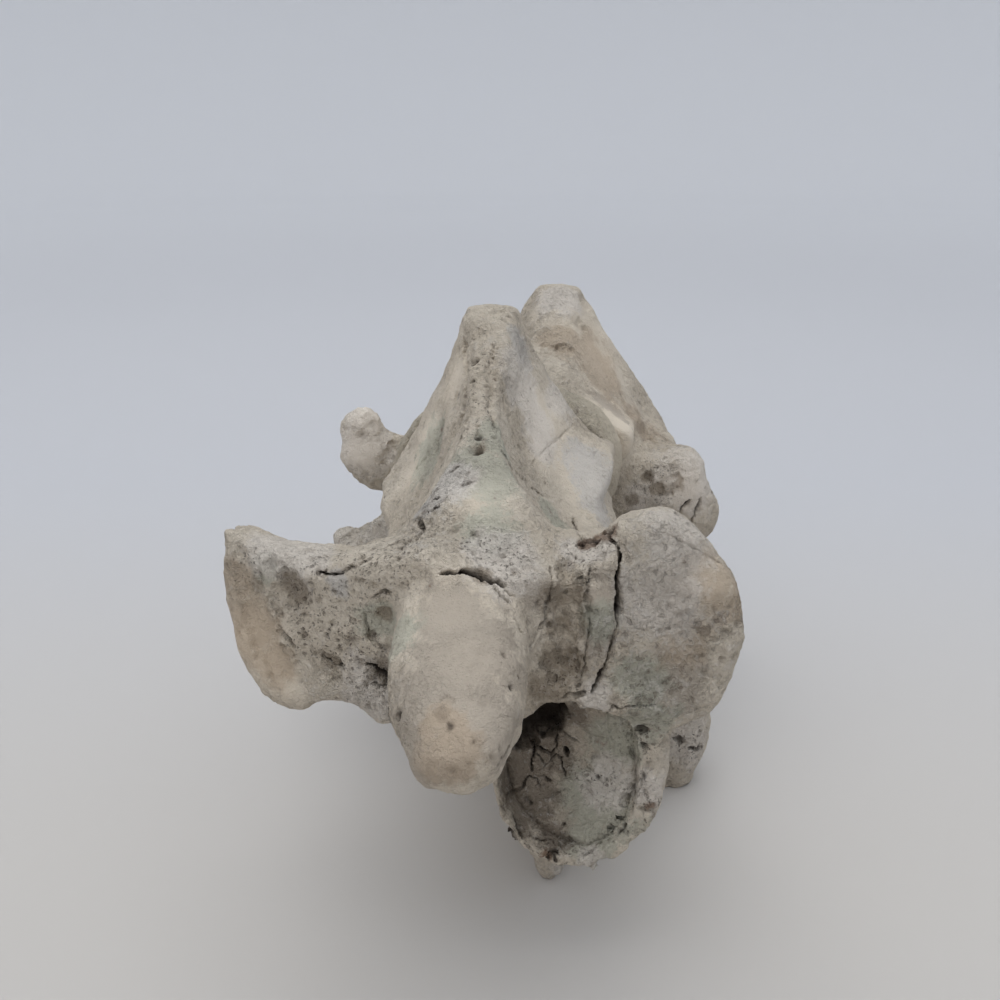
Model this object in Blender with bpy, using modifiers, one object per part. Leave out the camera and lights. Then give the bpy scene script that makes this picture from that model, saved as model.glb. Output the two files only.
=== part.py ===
"""Fossil oreodont neck bones, life size: the axis, lying belly side up, and the third neck bone stuck behind it.

Sizes are in millimetres in the axis bone's own frame, and are turned to metres where the meshes are made:
X to the bone's side (to the right seen from the front), Y from the peg back along the neck, Z to the belly side.
"""

import math

import bmesh
import bpy
from mathutils import Matrix, Vector, noise

MM = 0.001

# Driving sizes of the axis
WING_SPAN = 46.0        # across both front facets
PEG_TIP = 35.0          # the dens, from the bone's origin to its tip
PEG_WIDTH = 11.6
BODY_LENGTH = 38.0      # the centrum, from the facets to its rear rim
REAR_WIDTH = 27.0       # the centrum's flared rear rim
KEEL_TOP = 13.0         # the belly keel's height over the bone's long axis
CANAL_WIDTH = 15.0
SPINE_REACH = 37.0      # from the long axis down to the broken edge of the neural spine

# How the fossil lies
NOSE_DOWN = math.radians(12)
TURN = math.radians(-4)
AXIS_HEIGHT = 38.0      # the bone frame's origin over the table
MIDDLE_X = 1.623        # from the bone frame's origin to the middle of the whole box
MIDDLE_Y = 8.846
CUT_GAP = 0.35          # width of the thin cuts between named pieces
CLEARANCE = 0.32        # left between touching pieces

VOXEL = 0.75            # fineness at which the joined forms blend into one bone
AXIS_FACES = 6300
THIRD_FACES = 3200
ROCK_FACES = 600
BONE_COLOUR = (0.46, 0.41, 0.35, 1)
ROCK_COLOUR = (0.20, 0.18, 0.16, 1)


def clear_scene():
    for item in list(bpy.data.objects):
        bpy.data.objects.remove(item, do_unlink=True)


def collection(name, hidden=False):
    made = bpy.data.collections.new(name)
    bpy.context.scene.collection.children.link(made)
    made.hide_render = hidden
    return made


def material(name, colour, roughness):
    made = bpy.data.materials.new(name)
    made.use_nodes = True
    shader = made.node_tree.nodes["Principled BSDF"]
    shader.inputs["Base Color"].default_value = colour
    shader.inputs["Roughness"].default_value = roughness
    return made


def catmull(rows, steps):
    """Rows of numbers joined by a smooth curve, with this many steps between two rows."""
    out = []
    for i in range(len(rows) - 1):
        a, b, c, d = (rows[min(max(j, 0), len(rows) - 1)] for j in (i - 1, i, i + 1, i + 2))
        for s in range(steps):
            t = s / steps
            out.append([
                0.5 * (2 * q + (r - p) * t + (2 * p - 5 * q + 4 * r - w) * t * t
                       + (3 * q - p - 3 * r + w) * t ** 3)
                for p, q, r, w in zip(a, b, c, d)
            ])
    out.append(list(rows[-1]))
    return out


def loft(name, rings, into):
    """A closed solid through rings with the same number of points."""
    mesh = bpy.data.meshes.new(name)
    form = bmesh.new()
    grid = [[form.verts.new(Vector(p) * MM) for p in ring] for ring in rings]
    count = len(rings[0])
    for near, far in zip(grid, grid[1:]):
        for i in range(count):
            j = (i + 1) % count
            form.faces.new((near[i], near[j], far[j], far[i]))
    form.faces.new(list(reversed(grid[0])))
    form.faces.new(grid[-1])
    bmesh.ops.triangulate(form, faces=[f for f in form.faces if len(f.verts) > 4])
    bmesh.ops.recalc_face_normals(form, faces=form.faces)
    form.to_mesh(mesh)
    form.free()
    made = bpy.data.objects.new(name, mesh)
    into.objects.link(made)
    return made


def limb(name, stations, into, side=(1, 0, 0), squareness=2.3, around=22, steps=5):
    """A bony bar with blunt ends. A station is x, y, z, half size along side, half size across it."""
    rows = catmull(stations, steps)
    centres = [Vector(r[:3]) for r in rows]
    rings = []
    for i, row in enumerate(rows):
        along = centres[min(i + 1, len(rows) - 1)] - centres[max(i - 1, 0)]
        along.normalize()
        across = Vector(side) - Vector(side).dot(along) * along
        across.normalize()
        rise = along.cross(across)
        rings.append((centres[i], along, across, rise, row[3], row[4]))

    def ring(place, shrink, shift):
        centre, along, across, rise, half_side, half_rise = place
        points = []
        for k in range(around):
            turn = 2 * math.pi * k / around
            c, s = math.cos(turn), math.sin(turn)
            u = math.copysign(abs(c) ** (2 / squareness), c)
            w = math.copysign(abs(s) ** (2 / squareness), s)
            points.append(centre + along * shift
                          + across * (half_side * shrink * u) + rise * (half_rise * shrink * w))
        return points

    blunt = 0.55
    first, last = rings[0], rings[-1]
    ends = [(0.45, 0.92), (0.75, 0.72), (0.94, 0.36)]
    made = [ring(first, s, -d * blunt * min(first[4:])) for s, d in ends]
    made += [ring(r, 1, 0) for r in rings]
    made += [ring(last, s, d * blunt * min(last[4:])) for s, d in reversed(ends)]
    return loft(name, made, into)


def facing(centre, lean, turn=0):
    """A frame for a plate that stands across the bone: its X is sideways, its Y up, and its Z looks forward.
    Lean tips its top back and turn swings it round, in degrees."""
    stand = Matrix.Rotation(math.radians(90 - lean), 4, "X")
    return Matrix.Translation(Vector(centre) * MM) @ Matrix.Rotation(math.radians(turn), 4, "Z") @ stand


def plate(name, outline, frame, thick, edge, into, bend=0.0):
    """A bone plate with rounded edges, drawn by its outline in the frame, its two sides bent back by bend."""
    curve = bpy.data.curves.new(name, "CURVE")
    curve.dimensions = "2D"
    curve.fill_mode = "BOTH"
    curve.extrude = (thick / 2 - edge) * MM
    curve.bevel_depth = edge * MM
    curve.bevel_resolution = 2
    curve.offset = -edge * MM
    curve.resolution_u = 5
    spline = curve.splines.new("BEZIER")
    spline.bezier_points.add(len(outline) - 1)
    for point, (x, h) in zip(spline.bezier_points, outline):
        point.co = Vector((x, h, 0)) * MM
        point.handle_left_type = point.handle_right_type = "AUTO"
    spline.use_cyclic_u = True
    drawn = bpy.data.objects.new(name, curve)
    into.objects.link(drawn)
    bpy.context.view_layer.update()
    mesh = bpy.data.meshes.new_from_object(drawn.evaluated_get(bpy.context.evaluated_depsgraph_get()))
    bpy.data.objects.remove(drawn, do_unlink=True)
    form = bmesh.new()
    form.from_mesh(mesh)
    bmesh.ops.remove_doubles(form, verts=form.verts, dist=1e-6)
    bmesh.ops.triangulate(form, faces=form.faces)
    bmesh.ops.recalc_face_normals(form, faces=form.faces)
    for v in form.verts:
        v.co.z -= bend * v.co.x ** 2 / MM
    form.transform(frame)
    form.to_mesh(mesh)
    form.free()
    made = bpy.data.objects.new(name, mesh)
    into.objects.link(made)
    return made


def widened(outline, by):
    """A closed outline, drawn anticlockwise, with every edge moved outwards."""
    out = []
    for i, corner in enumerate(outline):
        here = Vector(corner)
        before = (here - Vector(outline[i - 1])).normalized()
        after = (Vector(outline[(i + 1) % len(outline)]) - here).normalized()
        out_a = Vector((before.y, -before.x))
        out_b = Vector((after.y, -after.x))
        out.append(here + (out_a + out_b) * by / (1 + out_a.dot(out_b)))
    return out


def prism(name, outline, frame, near, far, grow, into):
    """The outline, drawn anticlockwise in the frame, pushed from near to far along the frame's Z."""
    edge = widened(outline, grow)
    mesh = bpy.data.meshes.new(name)
    form = bmesh.new()
    low, high = ([form.verts.new(Vector((p.x, p.y, z)) * MM) for p in edge] for z in (near - grow, far + grow))
    form.faces.new(low)
    form.faces.new(high)
    for i in range(len(edge)):
        j = (i + 1) % len(edge)
        form.faces.new((low[i], low[j], high[j], high[i]))
    bmesh.ops.triangulate(form, faces=form.faces)
    bmesh.ops.recalc_face_normals(form, faces=form.faces)
    form.transform(frame)
    form.to_mesh(mesh)
    form.free()
    made = bpy.data.objects.new(name, mesh)
    into.objects.link(made)
    return made


def hull_along(name, stations, into, lean=0.0, squareness=2.2, around=28, steps=5):
    """A solid along the bone. A station is y, x, z, half width, half height; lean pushes what is low forward."""
    rings = []
    for y, x, z, half_w, half_h in catmull(stations, steps):
        ring = []
        for k in range(around):
            turn = 2 * math.pi * k / around
            c, s = math.cos(turn), math.sin(turn)
            u = math.copysign(abs(c) ** (2 / squareness), c) * half_w
            w = math.copysign(abs(s) ** (2 / squareness), s) * half_h
            ring.append(Vector((x + u, y + lean * w, z + w)))
        rings.append(ring)
    return loft(name, rings, into)


def keeled_body(name, stations, into, steps=5, around=12):
    """A centrum with a keel. A station is y, x, keel height, keel half width, flank height, flank half width,
    height of the far side, how hollow the flank is between keel and side, from 1 for straight, and how far
    the left side is crushed down."""
    rings = []
    for y, x, top, half_top, flank, half_flank, bottom, hollow, sag in catmull(stations, steps):
        right = []
        for k in range(around + 1):
            t = k / around
            right.append((half_top + (half_flank - half_top) * t,
                          flank + (top - flank) * (1 - t) ** hollow))
        for k in range(1, around):
            turn = math.pi / 2 * k / around
            right.append((half_flank * math.cos(turn), flank + (bottom - flank) * math.sin(turn)))
        ring = [Vector((x + u, y, w)) for u, w in right]
        ring.append(Vector((x, y, bottom)))
        ring += [Vector((x - u, y, w - sag * (u / half_flank) ** 2)) for u, w in reversed(right)]
        rings.append(ring)
    return loft(name, rings, into)


def ball(name, centre, radii, into, turn=(0, 0, 0)):
    mesh = bpy.data.meshes.new(name)
    form = bmesh.new()
    bmesh.ops.create_uvsphere(form, u_segments=28, v_segments=18, radius=1.0)
    place = Matrix.Translation(Vector(centre) * MM)
    for axis, angle in zip("XYZ", turn):
        place = place @ Matrix.Rotation(math.radians(angle), 4, axis)
    place = place @ Matrix.Diagonal((*(r * MM for r in radii), 1))
    form.transform(place)
    form.to_mesh(mesh)
    form.free()
    made = bpy.data.objects.new(name, mesh)
    into.objects.link(made)
    return made


def applied(item):
    """The object as its modifiers leave it, as a plain mesh."""
    bpy.context.view_layer.update()
    graph = bpy.context.evaluated_depsgraph_get()
    mesh = bpy.data.meshes.new_from_object(item.evaluated_get(graph))
    item.modifiers.clear()
    item.data = mesh
    return item


def largest(item):
    """Keeps only the largest closed surface of the object."""
    form = bmesh.new()
    form.from_mesh(item.data)
    left = set(form.verts)
    groups = []
    while left:
        group, edge = set(), [left.pop()]
        while edge:
            v = edge.pop()
            group.add(v)
            for e in v.link_edges:
                other = e.other_vert(v)
                if other in left:
                    left.discard(other)
                    edge.append(other)
        groups.append(group)
    groups.sort(key=len)
    for group in groups[:-1]:
        bmesh.ops.delete(form, geom=list(group), context="VERTS")
    form.to_mesh(item.data)
    form.free()
    return item


def boolean(base, operation, cutter):
    change = base.modifiers.new("cut", "BOOLEAN")
    change.operation = operation
    change.object = cutter
    change.solver = "MANIFOLD"
    return largest(applied(base))


def join_all(base, others):
    """One Boolean union of closed pieces, which are then removed."""
    union = base.modifiers.new("union", "BOOLEAN")
    union.operation = "UNION"
    union.operand_type = "COLLECTION"
    union.collection = others
    union.solver = "MANIFOLD"
    applied(base)
    for item in list(others.objects):
        bpy.data.objects.remove(item, do_unlink=True)
    return largest(base)


def part_off(rest, name, outline, frame, near, far, tools):
    """Parts a named piece from the rest by a thin cut along the sides of a prism."""
    inside = prism(name + "_cutter", outline, frame, near, far, 0, tools)
    around = prism(name + "_kerf", outline, frame, near, far, CUT_GAP, tools)
    piece = bpy.data.objects.new(name, rest.data.copy())
    rest.users_collection[0].objects.link(piece)
    boolean(piece, "INTERSECT", inside)
    boolean(rest, "DIFFERENCE", around)
    for tool in (inside, around):
        bpy.data.objects.remove(tool, do_unlink=True)
    return piece


def swollen(item, by, tools):
    """A copy of the object with its surface moved outwards, to cut its neighbours clear of it."""
    copy = bpy.data.objects.new(item.name + "_swollen", item.data.copy())
    tools.objects.link(copy)
    push = copy.modifiers.new("push", "DISPLACE")
    push.strength = by * MM
    push.mid_level = 0
    return applied(copy)


def weather(item, lump=0.35, size=6.0):
    """Low uneven relief over the whole surface."""
    mesh = item.data
    moved = []
    for v in mesh.vertices:
        p = v.co / (size * MM)
        moved.append(v.co + v.normal * (noise.noise(p) + 0.5 * noise.noise(p * 2.3)) * lump * MM)
    for v, co in zip(mesh.vertices, moved):
        v.co = co


def bone(item, voxel, faces, smooth=6):
    """Blends the joined forms into one skin of bone, with a set number of faces."""
    melt = item.modifiers.new("melt", "REMESH")
    melt.mode = "VOXEL"
    melt.voxel_size = voxel * MM
    soften = item.modifiers.new("soften", "SMOOTH")
    soften.factor = 0.5
    soften.iterations = smooth
    applied(item)
    weather(item)
    item.data.calc_loop_triangles()
    thin = item.modifiers.new("thin", "DECIMATE")
    thin.ratio = min(1, faces / len(item.data.loop_triangles))
    thin.use_collapse_triangulate = True
    return applied(item)


FRONT = facing((0, 0, 0), 0)                                     # sideways, up
SIDE = Matrix(((0, 0, 1, 0), (1, 0, 0, 0), (0, 1, 0, 0), (0, 0, 0, 1)))    # along the bone, up
TOP = Matrix.Identity(4)                                         # sideways, along the bone
LEFT_FACET = facing((-6.5, -17.5, -0.4), 14, -14)
RIGHT_FACET = facing((9.6, -16.5, -0.2), 22, 10)


def axis_forms(into):
    """The overlapping forms that make the axis bone in front of its arch."""
    rear = BODY_LENGTH - 18
    half_rear = REAR_WIDTH / 2
    keeled_body("body", [
        (-19, -0.8, 4.5, 6.0, 1, 11, -8, 1.2, 0),
        (-12, -1.0, 7.3, 5.0, 0, 11.2, -9, 1.4, 0),
        (-5, -1.6, 9.3, 2.2, -3, 10.4, -9.5, 1.7, 0.5),
        (4, -1.8, KEEL_TOP - 2, 1.3, -5, 11.0, -11, 1.8, 2.0),
        (13, -1.7, KEEL_TOP, 1.9, -4, half_rear - 0.2, -13, 1.8, 4.2),
        (rear - 1.6, -1.9, KEEL_TOP + 1.1, 2.6, -3, half_rear + 0.9, -14, 1.8, 5.5),
        (rear + 0.6, -1.8, KEEL_TOP + 0.4, 2.4, -3, half_rear + 0.2, -13.4, 1.8, 5.5),
    ], into)
    half_peg = PEG_WIDTH / 2
    limb("peg", [
        (-1.8, 20 - PEG_TIP, -0.2, half_peg, 5.0),
        (-1.8, 14 - PEG_TIP, -0.2, half_peg + 0.2, 5.0),
        (-1.6, 8 - PEG_TIP, -0.3, half_peg * 0.96, 4.5),
        (-1.0, 3 - PEG_TIP, -0.4, half_peg * 0.8, 4.0),
        (-0.6, -PEG_TIP, -0.8, half_peg * 0.58, 3.0),
    ], into, squareness=2.1)
    half_span = WING_SPAN / 2
    plate("left_facet", [
        (-18.9, 4.8), (-18.3, 5.0), (-12.5, 3.9), (-6.6, 4.6), (-2, 6.2), (6, 6), (6, -7), (-0.7, -10.5),
        (-6.4, -9.5), (-11.8, -12.1), (-16.2, -8.7), (-18.3, -2.3), (-19.0, 3.6),
    ], LEFT_FACET, 5.5, 1.6, into, bend=0.004)
    limb("left_bar", [
        (-4, -13, -1.0, 5.0, 6.5),
        (-11, -13.5, -0.8, 3.5, 4.6),
        (-17, -12.8, -0.8, 2.6, 3.9),
        (-half_span + 2.2, -12, -0.4, 1.8, 3.2),
    ], into, side=(0, 1, 0))
    plate("right_facet", [
        (-8, 3.4), (0, 4.9), (1.8, 7.8), (5.0, 8.6), (8.3, 7.8), (10.3, 5.6), (12.9, 1.1), (13.1, -2.4),
        (11.6, -7.4), (8.4, -10.8), (4.5, -10.6), (-0.9, -9.2), (-8, -8.5),
    ], RIGHT_FACET, 5.5, 1.6, into, bend=0.004)
    limb("right_bar", [
        (3, -12, -1.0, 5.0, 6.2),
        (9, -12, -1.0, 4.0, 5.8),
        (15, -11.5, -0.6, 3.0, 5.6),
        (19, -10.5, -0.6, 2.2, 4.6),
    ], into, side=(0, 1, 0.4))


def arch_forms(into):
    """The neural arch, crushed to the right, the stump of its spine, and the process on its right."""
    half_canal = CANAL_WIDTH / 2
    hull_along("arch", [
        (-22, 8.3, -13.0, half_canal + 0.5, 10.7),
        (-16, 8.2, -12.4, half_canal + 1.3, 10.0),
        (-6, 6.5, -12.5, half_canal + 1.6, 9.2),
        (6, 4.2, -13.0, half_canal + 1.4, 8.6),
        (14, 2.6, -13.0, half_canal + 2.6, 8.4),
        (19, 2.0, -12.6, half_canal + 3.2, 7.2),
    ], into, lean=0.36)
    for side in (-1, 1):
        limb("rear_joint", [
            (2.2 + side * 7.0, 8, -15.5, 3.2, 4.0),
            (2.2 + side * 9.6, 14, -17.5, 3.0, 3.4),
            (2.2 + side * 11.4, 19, -18.6, 3.2, 2.4),
        ], into)
    spine_foot = -SPINE_REACH
    limb("spine", [
        (5.8, -15.8, -27, 1.4, 9.0),
        (5.0, -9, -28.4, 1.9, -spine_foot - 27.5),
        (1.0, 0, -29, 2.2, -spine_foot - 25.5),
        (-1.6, 8, -28, 2.3, 10.0),
        (-1.4, 15, -24, 2.6, 7.0),
    ], into, squareness=3)
    limb("right_process", [
        (10, 9, -18, 4.5, 4.5),
        (16, 7, -24, 4.2, 4.6),
        (20.4, 5.0, -30.0, 3.8, 4.6),
        (20.6, 3.2, -35, 3.2, 3.8),
        (19.8, 1.6, -41, 2.6, 3.0),
    ], into)


def canal_pocket(name, into, shrink=0.0, back=-7.5):
    """The open front of the neural canal, a bowl in the arch that narrows as it goes back."""
    return hull_along(name, [
        (-46, 7.7, -14.4, 7.3 - shrink, 8.0 - shrink),
        (-23, 7.5, -14.4, 6.5 - shrink, 7.8 - shrink),
        (-17, 6.8, -13.4, 5.2 - shrink, 6.3 - shrink),
        (-11, 6.2, -12.2, 4.2 - shrink, 4.8 - shrink),
        (back - shrink, 6.0, -11.5, 3.0 - shrink, 3.2 - shrink),
    ], into, lean=0.36)


def third_forms(into):
    """The overlapping forms of the third neck bone, pushed a little to the right of the axis."""
    keeled_body("third_body", [
        (24.6, 2.6, 0.5, 3.0, -5, 12.0, -15, 1.1, 0),
        (33, 4.2, 2.6, 2.2, -7, 11.8, -14, 1.3, 0),
        (41, 4.9, 5.3, 2.5, -12, 13.9, -16, 1.15, 0),
        (45.2, 4.9, 6.6, 2.8, -15, 16.4, -18.5, 1.08, 0),
        (47.2, 4.9, 5.8, 2.6, -15, 15.6, -18, 1.08, 0),
    ], into)
    hull_along("third_arch", [
        (26, 2.5, -15, 11, 7.5),
        (35, 3.5, -16, 10.5, 8.5),
        (45, 4.0, -16, 11, 8),
    ], into)
    for side in (-1, 1):
        limb("third_rear_joint", [
            (3.8 + side * 6, 36, -19, 3.2, 3.6),
            (3.8 + side * 9, 43, -21, 3.2, 3.2),
            (3.8 + side * 10.4, 48.5, -22, 3.0, 2.2),
        ], into)
    limb("third_right", [
        (10, 31, -13, 4.5, 6.0),
        (17, 30, -15.0, 4.0, 5.8),
        (21.2, 29, -15.5, 3.6, 7.0),
        (23.2, 28.4, -15.5, 3.0, 6.4),
    ], into, side=(0, 1, 0))
    ball("third_right_lobe", (23.8, 28.4, -18.6), (3.1, 2.8, 4.6), into)
    limb("third_right_web", [
        (16.5, 44.5, -14.5, 3.4, 3.2),
        (18.0, 38, -15.0, 3.6, 4.2),
        (18.5, 31, -15.5, 3.6, 4.8),
    ], into)
    limb("third_left", [
        (-4, 33, -12, 4.0, 5.0),
        (-12, 32.5, -13.6, 3.0, 3.9),
        (-17.2, 31.8, -13.7, 2.7, 4.5),
        (-20.4, 31.4, -12.2, 2.4, 4.0),
        (-22.4, 31.2, -11.0, 2.0, 2.6),
    ], into, side=(0, 1, 0))
    ball("third_left_lobe", (-20.7, 32.0, -9.4), (2.9, 2.4, 3.9), into, (0, 12, 0))
    limb("third_spine", [
        (3, 33, -24, 2.2, 7),
        (3.4, 40, -25.5, 2.4, 9),
        (3.8, 46, -26, 2.2, 8),
    ], into, squareness=3)
    limb("third_front_joint", [
        (-3, 31, -19, 4.5, 4.5),
        (-7.0, 29.5, -28, 3.9, 4.4),
        (-9.6, 28, -37, 3.3, 4.0),
        (-10.8, 26.8, -46, 3.0, 3.6),
    ], into)
    limb("third_front_joint_broken", [
        (10, 31, -19, 4.5, 4.5),
        (14.5, 28.5, -24, 3.6, 4.0),
        (15.8, 27.4, -26, 3.0, 3.4),
    ], into)


def third_pocket(name, into, shrink=0.0, back=40.5):
    """The rear mouth of the third bone's canal."""
    return hull_along(name, [
        (back + shrink, 4.2, -16.6, 3.4 - shrink, 2.8 - shrink),
        (44, 4.2, -16.8, 5.0 - shrink, 3.8 - shrink),
        (60, 4.2, -17.0, 5.6 - shrink, 4.2 - shrink),
    ], into)


def pose():
    """Turns the bone frame so that the fossil lies as it rests, belly side up and peg forward, and puts the
    origin under the middle of the whole."""
    return (Matrix.Translation((-MIDDLE_X * MM, -MIDDLE_Y * MM, AXIS_HEIGHT * MM))
            @ Matrix.Rotation(TURN, 4, "Z") @ Matrix.Rotation(NOSE_DOWN, 4, "X"))


def fused(name, forms, into, loose, faces):
    """One bone from its overlapping forms."""
    forms(loose)
    base = loose.objects[0]
    loose.objects.unlink(base)
    into.objects.link(base)
    base.name = name
    join_all(base, loose)
    return bone(base, VOXEL, faces)


def ellipse(x, h, half_x, half_h, count=16):
    return [(x + half_x * math.cos(2 * math.pi * k / count), h + half_h * math.sin(2 * math.pi * k / count))
            for k in range(count)]


def axis_pieces(axis, tools):
    """Parts the axis along its cracks and at the roots of its processes."""
    part_off(axis, "axis_dens", ellipse(-1.8, -0.2, 6.6, 6.0), FRONT, 19.4, 60, tools)
    part_off(axis, "axis_right_facet", [
        (2.0, 30), (2.0, 6.2), (2.1, 3.5), (1.9, 0.9), (1.3, -2.8), (0.2, -5.7), (-1.0, -9.0), (2.8, -9.2),
        (6.2, -9.5), (9.1, -10.7), (12, -12.6), (30, -17), (30, 30),
    ], RIGHT_FACET, -11, 30, tools)
    part_off(axis, "axis_right_inner_facet", [
        (-4.9, 30), (-4.9, -8.9), (6, -8.9), (6, 30),
    ], RIGHT_FACET, -2.6, 30, tools)
    part_off(axis, "axis_left_facet", [
        (-7.4, -45), (-8.4, -20), (-13.0, -9), (-13.4, -4), (-45, -4), (-45, -45),
    ], TOP, -14, 25, tools)
    part_off(axis, "axis_right_process", [
        (10.5, -30), (10, -60), (40, -60), (40, -19.5), (15.5, -19.5), (12, -23.5),
    ], FRONT, -18, 14, tools)
    part_off(axis, "axis_neural_spine", [
        (-20.5, -24.0), (-24, -60), (22, -60), (22, -22.4), (0, -23), (-12, -23.2),
    ], SIDE, -14, 10.2, tools)
    part_off(axis, "axis_neural_arch", [
        (-45, -5.5), (-45, -60), (30, -60), (30, -14), (6, -13.2), (-8, -10.5), (-17, -9), (-22, -6.6),
    ], SIDE, -40, 40, tools)
    axis.name = "axis_centrum"


def third_pieces(third, tools):
    part_off(third, "third_right_process", [
        (17.4, -24.6), (60, -24.6), (60, 20), (16.8, 20),
    ], FRONT, -38, 0, tools)
    part_off(third, "third_left_process", [
        (-60, -60), (-11.8, -60), (-10.4, -24), (-10.6, 20), (-60, 20),
    ], FRONT, -60, 0, tools)
    part_off(third, "third_front_joint", [
        (-4.2, -26.5), (-13.5, -18.5), (-40, -18.5), (-40, -60), (-3.0, -60),
    ], FRONT, -60, -22, tools)
    part_off(third, "third_neural_arch", [
        (0, -15.6), (0, -60), (60, -60), (60, -16.6), (36, -16.2),
    ], SIDE, -60, 60, tools)
    third.name = "third_centrum"


def build():
    clear_scene()
    bones = collection("oreodont_neck_bones")
    loose = collection("loose_forms")
    tools = collection("cutters", hidden=True)

    axis = fused("axis", lambda c: (axis_forms(c), arch_forms(c)), bones, loose, AXIS_FACES)
    boolean(axis, "DIFFERENCE", canal_pocket("pocket", tools))
    third = fused("third", third_forms, bones, loose, THIRD_FACES)
    near_axis = swollen(axis, CLEARANCE, tools)
    boolean(third, "DIFFERENCE", near_axis)
    near_third = swollen(third, CLEARANCE, tools)
    boolean(third, "DIFFERENCE", third_pocket("third_pocket", tools))
    boolean(third, "DIFFERENCE", ball("rear_cup", (5.4, 52.6, -4.5), (11.5, 7.0, 8.0), tools))

    rear_fill = third_pocket("third_canal_matrix", bones, shrink=CLEARANCE + 0.1)
    rear_end = prism("rear_end", [(-30, -60), (40, -60), (40, 20), (-30, 20)], FRONT, -90, -45.4, 0, tools)
    boolean(rear_fill, "DIFFERENCE", rear_end)

    fill = canal_pocket("canal_matrix", bones, shrink=CLEARANCE + 0.1)
    boolean(fill, "DIFFERENCE", ball("dish", (5.0, -33.3, -9.4), (16, 16, 16), tools))
    boolean(fill, "DIFFERENCE", near_axis)

    rock = hull_along("joint_matrix", [
        (17.5, -0.4, -8, 11, 7),
        (20.5, -0.9, -8, 13.2, 9.5),
        (25, 0.2, -8.5, 13.0, 10),
        (29, 1.8, -9, 11.2, 8),
    ], loose, around=24, steps=3)
    ball("left_lump", (-18.6, 20.2, -21.2), (4.4, 3.4, 2.6), loose)
    ball("left_nub", (-21.3, 20.4, -19.5), (1.8, 1.9, 2.4), loose)
    ball("left_knob", (-17.7, 20.6, -18.8), (2.0, 2.0, 2.8), loose, (0, 15, 0))
    ball("left_root", (-12.8, 22.5, -17.4), (4.2, 4.4, 4.6), loose)
    loose.objects.unlink(rock)
    bones.objects.link(rock)
    join_all(rock, loose)
    bone(rock, 0.9, ROCK_FACES)
    boolean(rock, "DIFFERENCE", near_axis)
    boolean(rock, "DIFFERENCE", near_third)

    axis_pieces(axis, tools)
    third_pieces(third, tools)
    for tool in list(tools.objects):
        bpy.data.objects.remove(tool, do_unlink=True)

    bone_skin = material("fossil_bone", BONE_COLOUR, 0.9)
    rock_skin = material("rock_matrix", ROCK_COLOUR, 0.95)
    floor = prism("floor", [(-200, -200), (200, -200), (200, 200), (-200, 200)], TOP, -60, 0, 0, tools)
    for item in bones.objects:
        item.data.transform(pose())
        boolean(item, "DIFFERENCE", floor)
        item.data.materials.clear()
        item.data.materials.append(rock_skin if "matrix" in item.name else bone_skin)
        item.data.polygons.foreach_set("use_smooth", [True] * len(item.data.polygons))
    bpy.data.objects.remove(floor, do_unlink=True)


build()
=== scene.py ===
# %% [markdown]
# # Fossil neck bones of an oreodont
# Two neck bones of a sheep-sized hoofed mammal, the axis and the one behind it, lie belly side up and
# stuck together by hardened mud. The solids hold the shapes. This lesson gives them what 30 million
# years left: cracks, pores, grain, chipped rims and a chalky finish.

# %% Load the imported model
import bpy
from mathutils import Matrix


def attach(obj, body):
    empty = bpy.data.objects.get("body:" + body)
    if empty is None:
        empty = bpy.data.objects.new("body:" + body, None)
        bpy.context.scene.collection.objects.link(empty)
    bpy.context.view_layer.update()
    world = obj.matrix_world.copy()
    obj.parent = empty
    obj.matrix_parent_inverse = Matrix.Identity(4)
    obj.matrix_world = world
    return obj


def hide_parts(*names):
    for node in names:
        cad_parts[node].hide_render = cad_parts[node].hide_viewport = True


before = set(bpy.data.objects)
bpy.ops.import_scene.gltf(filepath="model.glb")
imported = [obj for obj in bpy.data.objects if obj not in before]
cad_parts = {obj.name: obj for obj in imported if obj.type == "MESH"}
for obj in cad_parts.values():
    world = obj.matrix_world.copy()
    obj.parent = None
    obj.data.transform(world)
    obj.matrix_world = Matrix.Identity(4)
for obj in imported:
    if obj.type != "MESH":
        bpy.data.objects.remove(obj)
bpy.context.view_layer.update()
print("nodes:", ", ".join(sorted(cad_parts)))

# %% Modules and units
import math

import bmesh
import bpy
import numpy as np
from mathutils import Matrix, Vector, noise
from mathutils.bvhtree import BVHTree

MM = 0.001


def linear(code):
    """An sRGB hex colour as the linear numbers that a shader takes."""
    parts = [int(code[i:i + 2], 16) / 255 for i in (1, 3, 5)]
    return (*(p / 12.92 if p <= 0.04045 else ((p + 0.055) / 1.055) ** 2.4 for p in parts), 1)


# %% [markdown]
# ## The camera
# The fossil was photographed from close by and a little above, with its peg towards the lens. Such a
# short distance makes near things look large, so the camera's place matters more than its lens. The
# same numbers also turn a spot in the picture into a line of sight, and later cells use such lines to
# lay each crack on the bone where the real one has it.

# %% Camera
PICTURE = 1000                      # the picture's side, in pixels
LENS, SENSOR = 37.8, 36.0
EYE = Vector((-1.623, -108.846, 75)) * MM
TILT = math.radians(70)

camera = bpy.data.objects.new("camera", bpy.data.cameras.new("camera"))
camera.data.lens = LENS
camera.data.sensor_width = SENSOR
camera.data.clip_start = 0.005
camera.location = EYE
camera.rotation_euler = (TILT, 0, 0)
bpy.context.scene.collection.objects.link(camera)
bpy.context.scene.camera = camera
bpy.context.scene.view_settings.view_transform = "Standard"
FOCUS = LENS / SENSOR * PICTURE     # the lens in pixels
TURNED = Matrix.Rotation(TILT, 3, "X")


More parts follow.
